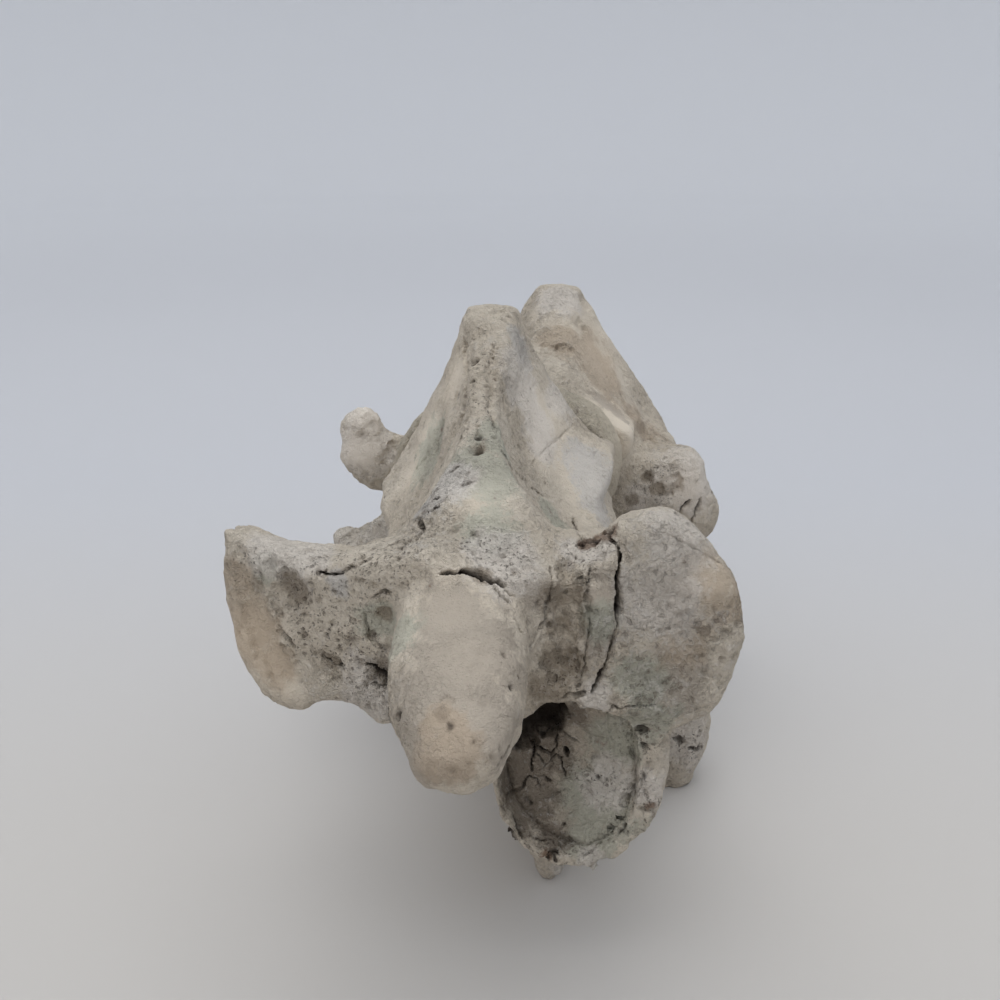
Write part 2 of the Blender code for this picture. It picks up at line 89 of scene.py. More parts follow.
def sight(x, y):
    """The direction in which a pixel looks."""
    return TURNED @ Vector(((x - PICTURE / 2) / FOCUS, (PICTURE / 2 - y) / FOCUS, -1)).normalized()


print(f"camera {EYE.z / MM:.0f} mm up and {-EYE.y / MM:.0f} mm in front of the middle")

# %% [markdown]
# ## One skin for each bone
# The solids are parted by thin cuts where a person names a sub-part. A real bone has no such cuts, so
# each bone's nodes are swollen until they meet, melted into one surface by a voxel remesh, smoothed,
# and shrunk back by the same amount. Its fine grid of points is the clay for the next steps.

# %% Skins
CELL = 0.22          # millimetres between two points of a skin
SWELL = 0.32         # closes the thin cuts between nodes


def link(name, mesh):
    made = bpy.data.objects.new(name, mesh)
    bpy.context.scene.collection.objects.link(made)
    return made


def settled(item):
    """Turns the object and its modifiers into one plain mesh."""
    bpy.context.view_layer.update()
    graph = bpy.context.evaluated_depsgraph_get()
    mesh = bpy.data.meshes.new_from_object(item.evaluated_get(graph))
    item.modifiers.clear()
    item.data = mesh
    return item


def read(item, kind="co"):
    rows = np.empty(len(item.data.vertices) * 3, np.float32)
    item.data.vertices.foreach_get(kind, rows)
    return rows.reshape(-1, 3).astype(float)


def write(item, rows):
    item.data.vertices.foreach_set("co", rows.astype(np.float32).ravel())
    item.data.update()


def biggest_piece(item):
    """Keeps the largest closed surface and drops loose scraps."""
    ends = np.empty(len(item.data.edges) * 2, np.int64)
    item.data.edges.foreach_get("vertices", ends)
    ends = ends.reshape(-1, 2)
    label = np.arange(len(item.data.vertices))
    while True:
        low = np.minimum(label[ends[:, 0]], label[ends[:, 1]])
        new = label.copy()
        np.minimum.at(new, ends[:, 0], low)
        np.minimum.at(new, ends[:, 1], low)
        new = new[new]
        if (new == label).all():
            break
        label = new
    names, counts = np.unique(label, return_counts=True)
    keep = names[counts.argmax()]
    form = bmesh.new()
    form.from_mesh(item.data)
    form.verts.ensure_lookup_table()
    drop = [form.verts[i] for i in np.nonzero(label != keep)[0]]
    bmesh.ops.delete(form, geom=drop, context="VERTS")
    form.to_mesh(item.data)
    form.free()


def skin(name, nodes, cell=CELL, swell=SWELL, calm=9, grow=0.0):
    """One smooth closed skin over these CAD nodes. Rock grows a little, so that it meets the bone."""
    whole = bmesh.new()
    for node in nodes:
        part = bmesh.new()
        part.from_mesh(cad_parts[node].data)
        bmesh.ops.remove_doubles(part, verts=part.verts, dist=1e-6)
        part.normal_update()
        for v in part.verts:
            v.co += v.normal * swell * MM
        copy = bpy.data.meshes.new(node + "_copy")
        part.to_mesh(copy)
        part.free()
        whole.from_mesh(copy)
    mesh = bpy.data.meshes.new(name)
    whole.to_mesh(mesh)
    whole.free()
    item = link(name, mesh)
    melt = item.modifiers.new("melt", "REMESH")
    melt.mode = "VOXEL"
    melt.voxel_size = cell * MM
    soften = item.modifiers.new("soften", "SMOOTH")
    soften.factor = 0.5
    soften.iterations = calm
    settled(item)
    biggest_piece(item)
    write(item, read(item) - read(item, "normal") * (swell - grow) * MM)
    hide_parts(*nodes)
    print(f"{name}: {len(item.data.vertices)} points over {len(nodes)} nodes")
    return item


def nodes_of(*starts):
    return sorted(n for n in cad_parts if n.startswith(starts) and "matrix" not in n)


axis = skin("axis_bone", nodes_of("axis_"))
third = skin("third_bone", nodes_of("third_"), cell=0.3)
canal_rock = skin("canal_rock", ["canal_matrix"], cell=0.2, swell=0.1, calm=6, grow=0.8)
joint_rock = skin("joint_rock", ["joint_matrix"], cell=0.3, swell=0.1, calm=8, grow=0.5)
rear_rock = skin("rear_rock", ["third_canal_matrix"], cell=0.3, swell=0.1, calm=8, grow=0.5)

# %% [markdown]
# ## Marks laid on by sight
# The real cracks and pits are known from one picture. Each is written as a few spots of that picture.
# A line of sight through a spot lands on the nearest skin, so the mark sits on the bone itself and
# looks right from any side. Between two spots the mark wanders a little, as a crack does.

# %% Sight lines
STEP = 1.3           # pixels between two samples of a mark


def tree_over(items):
    """One search tree over several skins."""
    points, faces = [], []
    for item in items:
        start = len(points)
        points += [v.co.copy() for v in item.data.vertices]
        faces += [[start + i for i in p.vertices] for p in item.data.polygons]
    return BVHTree.FromPolygons(points, faces)


def landed(tree, x, y):
    """Where the line of sight through a spot meets the skins, or None."""
    return tree.ray_cast(EYE, sight(x, y))[0]


def trail(tree, spots, wander=1.0):
    """The points on the bone under a mark, from its spots in the picture."""
    found = []
    for (ax, ay), (bx, by) in zip(spots, spots[1:]):
        count = max(2, round(math.hypot(bx - ax, by - ay) / STEP))
        for k in range(count):
            t = k / count
            x, y = ax + (bx - ax) * t, ay + (by - ay) * t
            for scale, share in ((0.21, 1.3), (0.7, 0.9)):
                x += wander * share * noise.noise((x * scale, y * scale, 3.1))
                y += wander * share * noise.noise((x * scale, y * scale, 8.7))
            hit = landed(tree, x, y)
            if hit is not None:
                found.append(hit)
    return np.array(found)


def reach(rows, line):
    """For each row, the distance in millimetres to a trail and how far along it the nearest point is."""
    gap = np.full(len(rows), 1e9)
    along = np.zeros(len(rows))
    low, high = line.min(0) - 3 * MM, line.max(0) + 3 * MM
    near = np.nonzero(((rows > low) & (rows < high)).all(1))[0]
    for start in range(0, len(near), 20000):
        part = near[start:start + 20000]
        away = np.linalg.norm(rows[part, None] - line[None], axis=2)
        best = away.argmin(1)
        gap[part] = away[np.arange(len(part)), best] / MM
        along[part] = best / max(1, len(line) - 1)
    return gap, along


# %% [markdown]
# ## Where the marks are
# Each mark has a half width and a depth in millimetres and its spots in the picture. The widest is the
# crack that parts the right facet. The finest are the shrinkage cracks of the dried mud.

# %% Cracks
CRACKS = {
    "facet_crack": (0.21, 1.6, [(613, 541), (618, 548), (620, 562), (618, 580), (619, 598), (619, 612),
                                (617, 626), (612, 645), (607, 662), (601, 676), (592, 693)]),
    "facet_gape": (0.40, 1.5, [(619, 592), (620, 602), (619, 612), (617, 622)]),
    "facet_top": (0.30, 0.9, [(576, 545), (586, 541), (596, 538), (604, 533), (612, 541)]),
    "strip_edge": (0.22, 0.5, [(551, 566), (552, 585), (549, 603), (545, 622), (536, 634), (530, 646),
                               (528, 660)]),
    "strip_gouge": (2.10, 1.2, [(566, 566), (568, 584), (569, 602), (568, 620), (567, 638),
                                (565, 654)]),
    "strip_foot": (1.60, 0.9, [(566, 650), (560, 666), (552, 680)]),
    "strip_ledge": (0.18, 0.4, [(590, 562), (588, 580), (588, 604), (590, 628), (586, 650), (584, 672),
                                (578, 690)]),
    "strip_fold": (0.17, 0.5, [(568, 642), (574, 648), (579, 654)]),
    "peg_gap": (0.48, 1.4, [(463, 570), (472, 572), (482, 576), (492, 580), (502, 584), (506, 588)]),
    "peg_gap_thin": (0.22, 0.7, [(440, 574), (450, 572), (460, 573), (466, 572)]),
    "peg_side": (0.24, 1.1, [(494, 587), (502, 596), (511, 604)]),
    "peg_side_twin": (0.14, 0.5, [(504, 588), (510, 595), (515, 599)]),
    "peg_flank": (0.20, 0.8, [(512, 618), (518, 626), (523, 636)]),
    "peg_ring": (0.24, 0.22, [(440, 703), (443, 698), (448, 696), (453, 699), (454, 704)]),
    "peg_ring_low": (0.20, 0.20, [(441, 708), (445, 712), (451, 713)]),
    "facet_foot": (0.20, 0.5, [(560, 699), (568, 694), (577, 696), (586, 692)]),
    "under_plate": (0.14, 0.4, [(607, 720), (608, 712), (614, 707), (622, 709), (627, 706), (640, 706),
                                (656, 705)]),
    "wing_crack": (0.24, 1.1, [(321, 571), (330, 575), (338, 574), (346, 570), (353, 564)]),
    "keel_fissure_a": (0.18, 0.6, [(450, 472), (457, 468), (466, 465)]),
    "keel_fissure_b": (0.18, 0.6, [(461, 485), (467, 483), (474, 482)]),
    "slant_a": (0.20, 0.7, [(447, 498), (441, 503), (435, 509), (428, 512)]),
    "slant_b": (0.15, 0.5, [(442, 483), (433, 488), (426, 493), (420, 497)]),
    "slant_c": (0.15, 0.5, [(440, 497), (431, 500), (424, 505), (417, 511)]),
    "slant_d": (0.18, 0.6, [(420, 517), (413, 520), (405, 522), (400, 525)]),
    "slant_e": (0.17, 0.6, [(422, 540), (411, 542), (402, 541), (392, 545), (381, 550)]),
    "slant_f": (0.15, 0.5, [(418, 520), (423, 527), (424, 533)]),
    "slant_g": (0.14, 0.4, [(372, 558), (363, 561), (352, 568)]),
    "keel_side_a": (0.21, 0.7, [(487, 398), (489, 405), (493, 414), (497, 424), (502, 436),
                                (503, 447)]),
    "keel_side_b": (0.21, 0.8, [(503, 452), (508, 458), (511, 466), (516, 474), (528, 480)]),
    "keel_side_c": (0.20, 0.7, [(532, 488), (540, 494), (549, 499)]),
    "keel_side_d": (0.20, 0.6, [(573, 518), (576, 526), (578, 534), (584, 538)]),
    "crest_left": (0.95, 0.5, [(463, 340), (466, 372), (464, 404), (458, 434)]),
    "crest_right": (0.95, 0.5, [(494, 345), (492, 378), (491, 408), (497, 434)]),
    "keel_left": (0.17, 0.5, [(466, 416), (463, 428), (460, 438), (456, 446)]),
    "flank_a": (0.24, 0.5, [(428, 446), (427, 456), (421, 464), (415, 472)]),
    "flank_b": (0.28, 0.6, [(444, 442), (441, 448)]),
    "flank_c": (0.24, 0.4, [(449, 457), (443, 461)]),
    "flank_d": (0.21, 0.4, [(441, 469), (436, 476)]),
    "flank_line": (0.21, 0.2, [(582, 416), (570, 428), (556, 440), (543, 452), (530, 466)]),
    "wing_facet": (2.30, 0.6, [(240, 560), (247, 590), (258, 625), (272, 655), (290, 678)]),
    "wing_groove_a": (0.20, 0.3, [(270, 604), (276, 609), (282, 617)]),
    "wing_groove_b": (0.40, 0.6, [(279, 627), (284, 634), (289, 641), (294, 648)]),
    "wing_groove_c": (0.44, 0.8, [(322, 656), (330, 662), (338, 667), (344, 668)]),
    "wing_groove_d": (0.52, 1.0, [(366, 664), (374, 669), (382, 675), (392, 683)]),
    "wing_groove_e": (0.19, 0.5, [(370, 684), (378, 686), (388, 687)]),
    "wing_groove_f": (0.20, 0.4, [(364, 612), (366, 624), (369, 634), (376, 644), (384, 652)]),
    "wing_groove_g": (0.21, 0.4, [(342, 636), (350, 643), (358, 649), (366, 655)]),
    "root_crease": (0.21, 0.5, [(388, 590), (380, 594), (372, 599)]),
    "leaf_notch": (1.00, 0.5, [(392, 444), (388, 456), (384, 466)]),
    "blade_crease": (1.30, 0.4, [(540, 322), (556, 319), (574, 322), (586, 330)]),
    "blade_dent": (1.10, 0.5, [(558, 346), (566, 349), (574, 350)]),
    "process_a": (0.95, 0.7, [(672, 476), (680, 480), (678, 488), (668, 494), (658, 497)]),
    "process_b": (0.60, 0.7, [(690, 500), (683, 508), (678, 516)]),
    "process_c": (0.50, 0.6, [(702, 498), (697, 510), (690, 522)]),
    "foot_gap": (0.32, 0.7, [(689, 748), (697, 750), (704, 748)]),
    "arch_slit": (0.24, 1.1, [(512, 813), (517, 820), (520, 830), (522, 838)]),
    "wall_a": (0.12, 0.35, [(626, 746), (632, 752), (639, 761), (636, 767), (643, 771), (646, 786)]),
    "wall_b": (0.14, 0.4, [(633, 768), (634, 780), (635, 794)]),
    "wall_c": (0.11, 0.3, [(641, 776), (643, 788), (648, 800), (654, 806)]),
    "rim_slit": (0.15, 0.4, [(601, 841), (592, 849), (583, 856)]),
    "plate_bevel": (0.18, 0.2, [(640, 524), (656, 530), (676, 538), (698, 551), (718, 561),
                                (735, 573)]),
}
MUD_CRACKS = {
    "mud_a": (0.15, 0.7, [(502, 803), (507, 799), (509, 793), (518, 789), (524, 786), (526, 779),
                          (533, 774)]),
    "mud_b": (0.17, 0.8, [(533, 774), (531, 764), (535, 752), (533, 744), (527, 741), (519, 743),
                          (512, 747)]),
    "mud_c": (0.20, 0.9, [(534, 746), (543, 750), (551, 753), (556, 747), (557, 736), (556, 727)]),
    "mud_d": (0.16, 0.8, [(545, 766), (551, 760), (556, 754), (561, 758), (563, 768), (567, 779)]),
    "mud_e": (0.26, 0.9, [(565, 748), (567, 757)]),
    "mud_f": (0.12, 0.5, [(530, 776), (537, 779), (540, 788)]),
    "mud_g": (0.16, 0.6, [(543, 775), (550, 781)]),
    "mud_h": (0.10, 0.4, [(556, 727), (563, 732), (575, 741), (590, 746)]),
    "mud_i": (0.10, 0.3, [(548, 800), (558, 792), (568, 788)]),
    "mud_j": (0.14, 0.6, [(512, 747), (506, 752), (500, 760)]),
    "mud_k": (0.12, 0.5, [(535, 752), (541, 757), (545, 766), (539, 770)]),
    "mud_l": (0.10, 0.4, [(518, 789), (522, 797), (520, 806)]),
    "mud_m": (0.22, 0.8, [(536, 733), (543, 736), (549, 734)]),
    "mud_n": (0.12, 0.5, [(551, 753), (553, 763), (549, 770)]),
    "mud_o": (0.20, 0.7, [(540, 846), (548, 852), (556, 851)]),
    "mud_p": (0.12, 0.5, [(532, 836), (540, 840), (550, 838), (556, 845)]),
}

# %% [markdown]
# ## Pits and hollows
# A pit is a round dent: the place in the picture, its radius and its depth in millimetres. The large
# ones are where spongy bone has fallen out, and the black hollow under the inner facet is the deepest.

# %% Pits
PITS = {
    "keel": [(479, 437, 0.5, 0.45), (473, 450, 0.8, 0.4), (478, 452, 0.5, 0.4), (473, 362, 0.7, 0.5),
             (473, 382, 0.5, 0.6), (465, 405, 0.5, 0.6), (474, 338, 0.9, 0.25), (455, 398, 0.8, 0.3)],
    "wing": [(292, 590, 2.3, 0.8), (253, 586, 1.4, 0.6), (247, 566, 1.6, 0.4), (270, 562, 0.8, 0.4),
             (333, 660, 1.0, 0.4), (338, 640, 0.4, 0.3), (383, 614, 0.8, 0.25), (352, 642, 0.9, 0.4),
             (378, 668, 1.2, 0.5), (336, 678, 0.9, 0.4), (398, 716, 0.5, 0.5)],
    "peg": [(441, 716, 0.7, 0.35), (450, 725, 0.45, 0.35), (450, 745, 1.3, 0.25), (453, 773, 0.5, 0.25),
            (511, 687, 0.35, 0.35), (520, 677, 0.25, 0.3), (505, 655, 0.4, 0.25), (474, 742, 0.3, 0.2),
            (484, 703, 0.6, 0.2), (484, 654, 0.8, 0.2), (455, 642, 0.9, 0.18), (434, 651, 0.6, 0.15)],
    "hollow": [(540, 718, 2.4, 3.0), (552, 715, 1.7, 2.2), (529, 725, 2.0, 2.6), (521, 735, 1.3, 2.0),
               (515, 742, 1.0, 1.5), (562, 713, 0.9, 0.9)],
    "strip": [(566, 660, 1.4, 0.4), (556, 680, 1.0, 0.3)],
    "bowl": [(598, 777, 0.4, 0.35), (564, 824, 0.25, 0.4), (526, 799, 0.6, 0.4), (531, 803, 0.4, 0.4),
             (554, 852, 0.6, 0.7), (620, 831, 0.6, 0.8), (625, 824, 0.5, 0.6), (611, 827, 0.4, 0.4),
             (641, 730, 0.6, 0.5), (646, 748, 0.4, 0.3), (643, 776, 0.5, 0.4)],
    "third": [(648, 475, 0.7, 0.4), (660, 492, 1.2, 0.4), (652, 448, 0.8, 0.3), (672, 470, 0.7, 0.3),
              (362, 436, 0.9, 0.4), (372, 424, 0.7, 0.3), (380, 460, 0.8, 0.3), (366, 474, 0.7, 0.3)],
    "foot": [(679, 740, 0.8, 0.7), (700, 748, 0.6, 0.4)],
    "rust": [(609, 531, 0.7, 0.7), (596, 540, 0.5, 0.5)],
}

# %% [markdown]
# ## Pulls
# Where the melted skin is rounder than the real edge, a pull moves a patch of skin from one spot of the
# picture to another, as a thumb moves clay. Its last number is the radius of the patch in millimetres.

# %% Pulls
PULLS = [
    ((232, 535), (226, 529), 1.6),
    ((586, 300), (582, 304), 2.0),
    ((361, 533), (361, 544), 1.8),
    ((700, 452), (703, 449), 2.5),
    ((540, 709), (540, 703), 2.2),
    ((556, 708), (556, 702), 2.2),
    ((572, 705), (572, 700), 1.8),
]


def pull(item, tree, start, end, radius):
    centre = landed(tree, *start)
    if centre is None:
        return
    away = (centre - EYE).length
    move = np.array(EYE + sight(*end) * away - centre)
    rows = read(item)
    gap = np.linalg.norm(rows - np.array(centre), axis=1) / (radius * MM)
    weight = np.clip(1 - gap ** 2, 0, 1) ** 2
    write(item, rows + weight[:, None] * move)


# %% Carving
FINE_BAND = 0.55     # skin this close to a crack, in millimetres, gets a finer grid


def attribute(item, name, values=None):
    """Reads or writes a number for each point of a skin."""
    layer = item.data.attributes.get(name)
    if values is None:
        out = np.zeros(len(item.data.vertices), np.float32)
        if layer:
            layer.data.foreach_get("value", out)
        return out.astype(float)
    layer = layer or item.data.attributes.new(name, "FLOAT", "POINT")
    layer.data.foreach_set("value", values.astype(np.float32))


def refined(item, lines):
    """Splits the faces that lie along the trails."""
    rows = read(item)
    gap = np.full(len(rows), 1e9)
    for line in lines:
        gap = np.minimum(gap, reach(rows, line)[0])
    form = bmesh.new()
    form.from_mesh(item.data)
    form.verts.ensure_lookup_table()
    near = [e for e in form.edges if min(gap[e.verts[0].index], gap[e.verts[1].index]) < FINE_BAND]
    bmesh.ops.subdivide_edges(form, edges=near, cuts=1, use_grid_fill=True)
    bmesh.ops.triangulate(form, faces=[f for f in form.faces if len(f.verts) > 4])
    form.to_mesh(item.data)
    form.free()
    return len(near)


WAVE_WAYS = ((2.9, 1.1, 0.4), (-1.3, 2.3, 1.7), (0.7, -1.9, 2.6))


def ripple(rows, size):
    """A cheap uneven number from -1 to 1 for each point, with bumps of this size in millimetres."""
    turns = rows / (size * MM)
    waves = [np.sin(turns @ np.array(way) + k) for k, way in enumerate(WAVE_WAYS)]
    return sum(waves) / 3 + 0.4 * waves[0] * waves[2]


def carved(item, cracks, pits):
    """Sinks the cracks and pits into a skin and notes how deep in shade each point is."""
    rows, out = read(item), read(item, "normal")
    uneven, fine = ripple(rows, 1.1), ripple(rows, 0.42)
    sink = np.zeros(len(rows))
    shade = np.zeros(len(rows))
    for half, depth, line in cracks:
        gap, along = reach(rows, line)
        width = half * (0.35 + 0.65 * np.sin(np.pi * np.clip(along, 0.02, 0.98)) ** 0.5)
        width *= 0.8 + 0.35 * uneven + 0.25 * fine
        shape = np.clip(1 - (gap / width) ** 2, 0, 1)
        sink = np.maximum(sink, depth * shape ** (1.2 if half < 1 else 0.6))
        dark = 0.95 * min(1, depth / 0.8) if half < 0.9 else 0.15
        shade = np.maximum(shade, np.clip(1.15 - gap / width, 0, 1) * dark)
    for centre, radius, depth in pits:
        gap = np.linalg.norm(rows - np.array(centre), axis=1) / (radius * MM)
        gap *= 1.05 + 0.30 * uneven + 0.2 * fine
        shape = np.clip(1 - gap ** 2, 0, 1)
        sink = np.maximum(sink, depth * shape ** 0.8)
        shade = np.maximum(shade, shape ** 0.5 * min(1, 0.85 * depth / radius))
    write(item, rows - out * (sink * MM)[:, None])
    attribute(item, "shade", shade)


skins = [axis, third, canal_rock, joint_rock, rear_rock]
sight_tree = tree_over(skins)
for start, end, radius in PULLS:
    for item in skins:
        pull(item, sight_tree, start, end, radius)
sight_tree = tree_over(skins)
crack_trails = [(half, depth, trail(sight_tree, spots))
                for half, depth, spots in (*CRACKS.values(), *MUD_CRACKS.values())]
crack_trails = [c for c in crack_trails if len(c[2]) > 1]
pit_places = [(landed(sight_tree, x, y), radius, depth)
              for group in PITS.values() for x, y, radius, depth in group]
pit_places = [p for p in pit_places if p[0] is not None]
for item in (axis, third, canal_rock):
    split = refined(item, [line for half, depth, line in crack_trails])
    carved(item, crack_trails, pit_places)
    print(f"{item.name}: {split} edges split, {len(item.data.vertices)} points")

# %% [markdown]
# ## Where each texture and stain lies
# Fossil bone is not one colour. Clay leaves a green film, iron a rusty rim, and handling a tan polish.
# Some patches are painted light and shade, wholly or in part: a painted bluish light on the lit flanks,
# painted light on faces that stand out lit, and painted shade in the bowl, the hollows and some lower
# faces. Each list gives the middle of a patch in the picture and its radius in millimetres. One more
# number notes how far a point faces away: there the next steps make their own cracks and stains, as
# no picture shows them.

# %% Patches
PATCHES = {
    "porous": [(320, 610, 7), (345, 640, 6), (300, 640, 4), (330, 560, 5), (370, 570, 6), (360, 670, 5),
               (300, 600, 4), (410, 545, 5), (400, 575, 4), (475, 430, 3), (476, 400, 2.5),
               (475, 360, 3), (665, 485, 5), (595, 775, 3), (640, 740, 4), (640, 815, 4), (545, 850, 4),
               (690, 745, 5), (245, 565, 3), (585, 560, 3), (480, 550, 4), (510, 560, 3),
               (560, 670, 3)],
    "grain": [(650, 640, 8), (670, 690, 8), (640, 590, 6), (700, 630, 6), (600, 620, 3), (650, 560, 5),
              (430, 500, 6), (450, 480, 4), (420, 540, 5), (380, 690, 5), (330, 695, 4)],
    "smooth": [(362, 450, 5), (368, 420, 4), (690, 485, 5), (540, 450, 5), (415, 470, 5), (455, 380, 5),
               (250, 640, 5), (265, 665, 4), (285, 685, 3), (715, 582, 3), (575, 470, 9), (545, 420, 7),
               (450, 610, 7), (470, 660, 7), (460, 720, 6), (600, 350, 9), (620, 420, 8), (600, 600, 2),
               (430, 430, 4), (480, 500, 4)],
    "green": [(480, 470, 6), (500, 440, 4), (555, 520, 4), (600, 620, 3), (396, 640, 4), (490, 530, 4),
              (620, 740, 4), (600, 800, 6), (650, 720, 4), (640, 680, 4), (430, 450, 6), (380, 620, 3),
              (590, 840, 4), (262, 570, 2.5)],
    # Painted bluish light on the lit flanks and a few other faces.
    "blue": [(590, 470, 6), (600, 500, 5), (520, 350, 4), (430, 495, 4), (450, 480, 3), (338, 585, 2)],
    "tan": [(450, 760, 4), (440, 725, 2.5), (450, 728, 2), (453, 742, 2), (665, 600, 5), (680, 640, 4),
            (712, 590, 4), (700, 565, 3), (250, 630, 5), (270, 660, 4), (740, 600, 3), (453, 745, 2.4),
            (600, 370, 8), (640, 420, 6), (565, 340, 5), (236, 580, 3)],
    # Partly the bone's own paler patches, partly painted light on the third bone's faces that stand out
    # lit.
    "pale": [(585, 553, 2.5), (600, 548, 2.5), (572, 552, 2.5), (300, 555, 5), (270, 545, 4),
             (500, 560, 5), (610, 785, 4), (648, 790, 3), (597, 700, 2.5), (670, 740, 4), (498, 815, 2),
             (510, 840, 2), (530, 857, 2), (560, 866, 2), (590, 862, 2), (372, 692, 5), (362, 448, 7),
             (366, 418, 6), (660, 600, 6), (680, 540, 5), (560, 300, 5), (645, 500, 4), (690, 480, 8),
             (540, 430, 5.5), (560, 400, 4.5), (450, 485, 4), (520, 380, 6), (690, 745, 5),
             (345, 538, 4), (375, 534, 4)],
    # A greyer tone, partly painted shade on lower faces such as the foot of the right facet.
    "greyer_and_shade": [(450, 612, 5), (470, 645, 8), (560, 300, 4), (602, 402, 3), (615, 412, 3), (450, 690, 8),
             (480, 710, 7), (430, 740, 6), (672, 686, 5), (535, 592, 2.5), (602, 604, 3), (600, 640, 3),
             (600, 575, 1.5)],
    "rust": [(609, 532, 1.5), (598, 538, 1.5), (586, 542, 1.2), (649, 806, 0.9), (642, 834, 0.9),
             (628, 852, 1.1), (505, 828, 1.2), (548, 855, 1.0)],
    "mud": [(565, 600, 2.8), (566, 630, 2.8), (562, 660, 3.2), (548, 690, 3), (292, 592, 2.2),
            (253, 588, 1.4), (384, 672, 1.8), (333, 662, 1.2), (384, 614, 1.2), (632, 500, 1.5),
            (657, 490, 1.5), (647, 477, 1.2), (482, 576, 1.4), (480, 450, 1.0)],
    # Darker mud in the bowl, and partly painted shade in the bowl and in the hollows under the inner facet.
    "dark": [(525, 775, 4.5), (545, 722, 4), (530, 800, 4.5), (545, 755, 4), (552, 835, 3),
             (575, 715, 2)],
    "ragged": [(646, 790, 2), (650, 806, 2), (646, 822, 2), (638, 838, 2), (626, 852, 2), (611, 862, 2),
               (594, 866, 2), (576, 868, 2), (560, 868, 2), (545, 860, 2), (530, 850, 2), (515, 836, 2),
               (503, 820, 2), (495, 805, 2), (360, 534, 4), (372, 528, 3), (390, 714, 2), (372, 706, 2),
               (352, 702, 2), (604, 534, 2), (590, 540, 2), (700, 452, 3), (690, 470, 3), (712, 500, 3),
               (345, 430, 3), (352, 472, 3), (366, 412, 3)],
}


def spread(item, spots):
    """How much of a patch each point of a skin has, from 0 to 1."""
    rows = read(item)
    out = np.zeros(len(rows))
    for x, y, radius in spots:
        centre = landed(sight_tree, x, y)
        if centre is not None:
            gap = np.linalg.norm(rows - np.array(centre), axis=1) / (radius * MM)
            out = np.maximum(out, np.clip(1.3 * (1 - gap), 0, 1))
    return out


BEHIND = np.array((0.0, 0.94, -0.34))      # a skin that faces this way is out of the picture

for item in skins:
    for name, spots in PATCHES.items():
        attribute(item, name, spread(item, spots))
    attribute(item, "hidden", np.clip(read(item, "normal") @ BEHIND + 0.3, 0, 1))
    print(f"{item.name}: {len(PATCHES)} kinds of patch")

# %% [markdown]
# ## Floor and light
# A matt paper sweep and one broad lamp overhead are the plain studio of such pictures. The paper is
# turned from one profile, so that it has no corner and looks the same from every side.

# %% Paper sweep
SWEEP_RADIUS, SWEEP_BEND, SWEEP_HEIGHT = 1.25, 0.35, 1.2       # metres
profile = [(0.0, 0.0), (SWEEP_RADIUS - SWEEP_BEND, 0.0)]
profile += [(SWEEP_RADIUS - SWEEP_BEND + SWEEP_BEND * math.sin(t), SWEEP_BEND * (1 - math.cos(t)))
            for t in (math.pi / 2 * k / 12 for k in range(1, 13))]
profile.append((SWEEP_RADIUS, SWEEP_HEIGHT))
paper_mesh = bpy.data.meshes.new("paper_sweep")
paper_form = bmesh.new()
line = [paper_form.verts.new((r, 0, z)) for r, z in profile]
edges = [paper_form.edges.new(pair) for pair in zip(line, line[1:])]
bmesh.ops.spin(paper_form, geom=line + edges, cent=(0, 0, 0), axis=(0, 0, 1),
               angle=2 * math.pi, steps=72, use_merge=True)
bmesh.ops.remove_doubles(paper_form, verts=paper_form.verts, dist=1e-5)
bmesh.ops.recalc_face_normals(paper_form, faces=paper_form.faces)
paper_form.to_mesh(paper_mesh)
paper_form.free()
paper = link("paper_sweep", paper_mesh)
paper.data.polygons.foreach_set("use_smooth", [True] * len(paper.data.polygons))


# %% Lamps and sky
def lamp(name, place, size, power, colour):
    """A square soft lamp that faces the fossil."""
    data = bpy.data.lights.new(name, "AREA")
    data.size = size
    data.energy = power
    data.color = linear(colour)[:3]
    item = bpy.data.objects.new(name, data)
    item.location = place
    item.rotation_euler = (-Vector(place)).to_track_quat("-Z", "Y").to_euler()
    bpy.context.scene.collection.objects.link(item)
    return item


lamp("overhead", (-0.05, 0.11, 0.80), 0.70, 1.9, "#FFFFFF")
lamp("front_fill", (-0.30, -0.70, 0.45), 0.50, 0.7, "#FFF8F0")
world = bpy.data.worlds.new("studio")
world.use_nodes = True
bpy.context.scene.world = world
world.node_tree.nodes["Background"].inputs["Color"].default_value = linear("#E9EDF2")
world.node_tree.nodes["Background"].inputs["Strength"].default_value = 1.0


# %% [markdown]
# ## Nodes in one line
# Geometry trees and materials are both built from nodes. One small function adds a node, sets it and
# links it, so that a tree reads like a recipe.

# %% One function for nodes
def add(tree, kind, settings=None, **inputs):
    """Adds a node. Inputs are named, or numbered as i0 and i1, and take a value or a node's output."""
    node = tree.nodes.new(kind)
    for key, value in (settings or {}).items():
        setattr(node, key, value)
    for key, value in inputs.items():
        by_number = key[0] == "i" and key[1:].isdigit()
        socket = node.inputs[int(key[1:]) if by_number else key.replace("_", " ")]
        if isinstance(value, bpy.types.NodeSocket):
            tree.links.new(value, socket)
        else:
            socket.default_value = value
    return node


def maths(tree, operation, *values):
    """One sum of numbers or outputs."""
    numbered = {f"i{k}": value for k, value in enumerate(values)}
    return add(tree, "ShaderNodeMath", {"operation": operation}, **numbered).outputs[0]


def fade(tree, value, low, high, out_low=0.0, out_high=1.0):
    """A soft step from out_low to out_high as the value goes from low to high."""
    return add(tree, "ShaderNodeMapRange", {"interpolation_type": "SMOOTHSTEP"}, Value=value,
               From_Min=low, From_Max=high, To_Min=out_low, To_Max=out_high).outputs[0]
